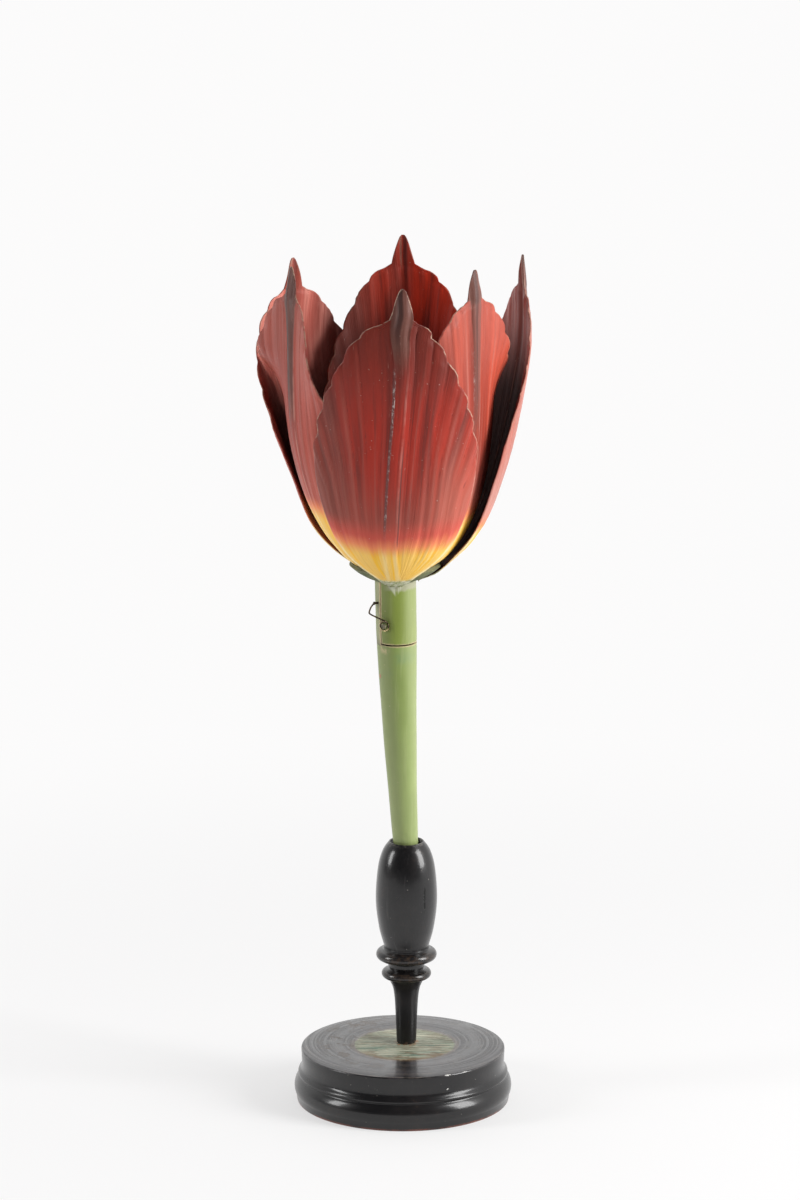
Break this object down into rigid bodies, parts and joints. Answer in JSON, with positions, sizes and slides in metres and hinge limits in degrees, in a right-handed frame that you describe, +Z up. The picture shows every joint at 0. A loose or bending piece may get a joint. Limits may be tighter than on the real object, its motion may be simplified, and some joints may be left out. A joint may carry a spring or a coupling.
{
  "type": "botanical model",
  "caption": "Take-apart botanical tulip model: scalloped tepals around stamens and pistil on a green stem with a removable hooked half, set in a turned wooden stand.",
  "frame": {"origin": "centre of the base's underside", "axes": "+Z up along the stem, -Y towards the viewer of the model's front, +X to that viewer's right"},
  "size_m": [0.1559, 0.1448, 0.4951],
  "materials": {
    "black_wood": "ebonised, worn and varnished",
    "plain_wood": "plain turned dowel",
    "green_paint": "painted and varnished moulded paper",
    "red_paint": "painted and varnished moulded paper",
    "cream_paint": "painted and varnished moulded paper",
    "dark_paint": "painted and varnished moulded paper",
    "old_wire": "darkened wire"
  },
  "bodies": {
    "stand": {"base": "black_wood", "post": "black_wood"},
    "flower_fixed": {"stem": "green_paint", "stem_dowel": "plain_wood", "catch_pin": "old_wire", "receptacle_back": "green_paint", "tepal_back": "red_paint", "tepal_left_back": "red_paint", "tepal_left_front": "red_paint", "ovary": "green_paint", "stigma": "cream_paint", "filament_2": "cream_paint", "anther_2": "dark_paint", "filament_3": "cream_paint", "anther_3": "dark_paint", "filament_4": "cream_paint", "anther_4": "dark_paint"},
    "flower_front": {"stem_front_half": "green_paint", "locating_peg_lower": "plain_wood", "locating_peg_upper": "plain_wood", "latch_pin": "old_wire", "receptacle_front": "green_paint", "tepal_front": "red_paint", "tepal_right_front": "red_paint", "tepal_right_back": "red_paint", "filament_1": "cream_paint", "anther_1": "dark_paint", "filament_5": "cream_paint", "anther_5": "dark_paint", "filament_6": "cream_paint", "anther_6": "dark_paint"},
    "latch": {"latch_hook": "old_wire"}
  },
  "joints": [
    {"name": "stem_lift", "type": "slide", "parent": "stand", "child": "flower_fixed", "axis": [0, 0, 1], "range_m": [0, 0.05]},
    {"name": "front_slide", "type": "slide", "parent": "flower_fixed", "child": "flower_front", "axis": [0.8572, -0.515, 0], "range_m": [0, 0.11]},
    {"name": "latch_swing", "type": "hinge", "parent": "flower_front", "child": "latch", "pos_m": [-0.01049, -0.00573, 0.2831], "axis": [-0.5225, -0.8526, 0], "range_deg": [0, 95]}
  ]
}
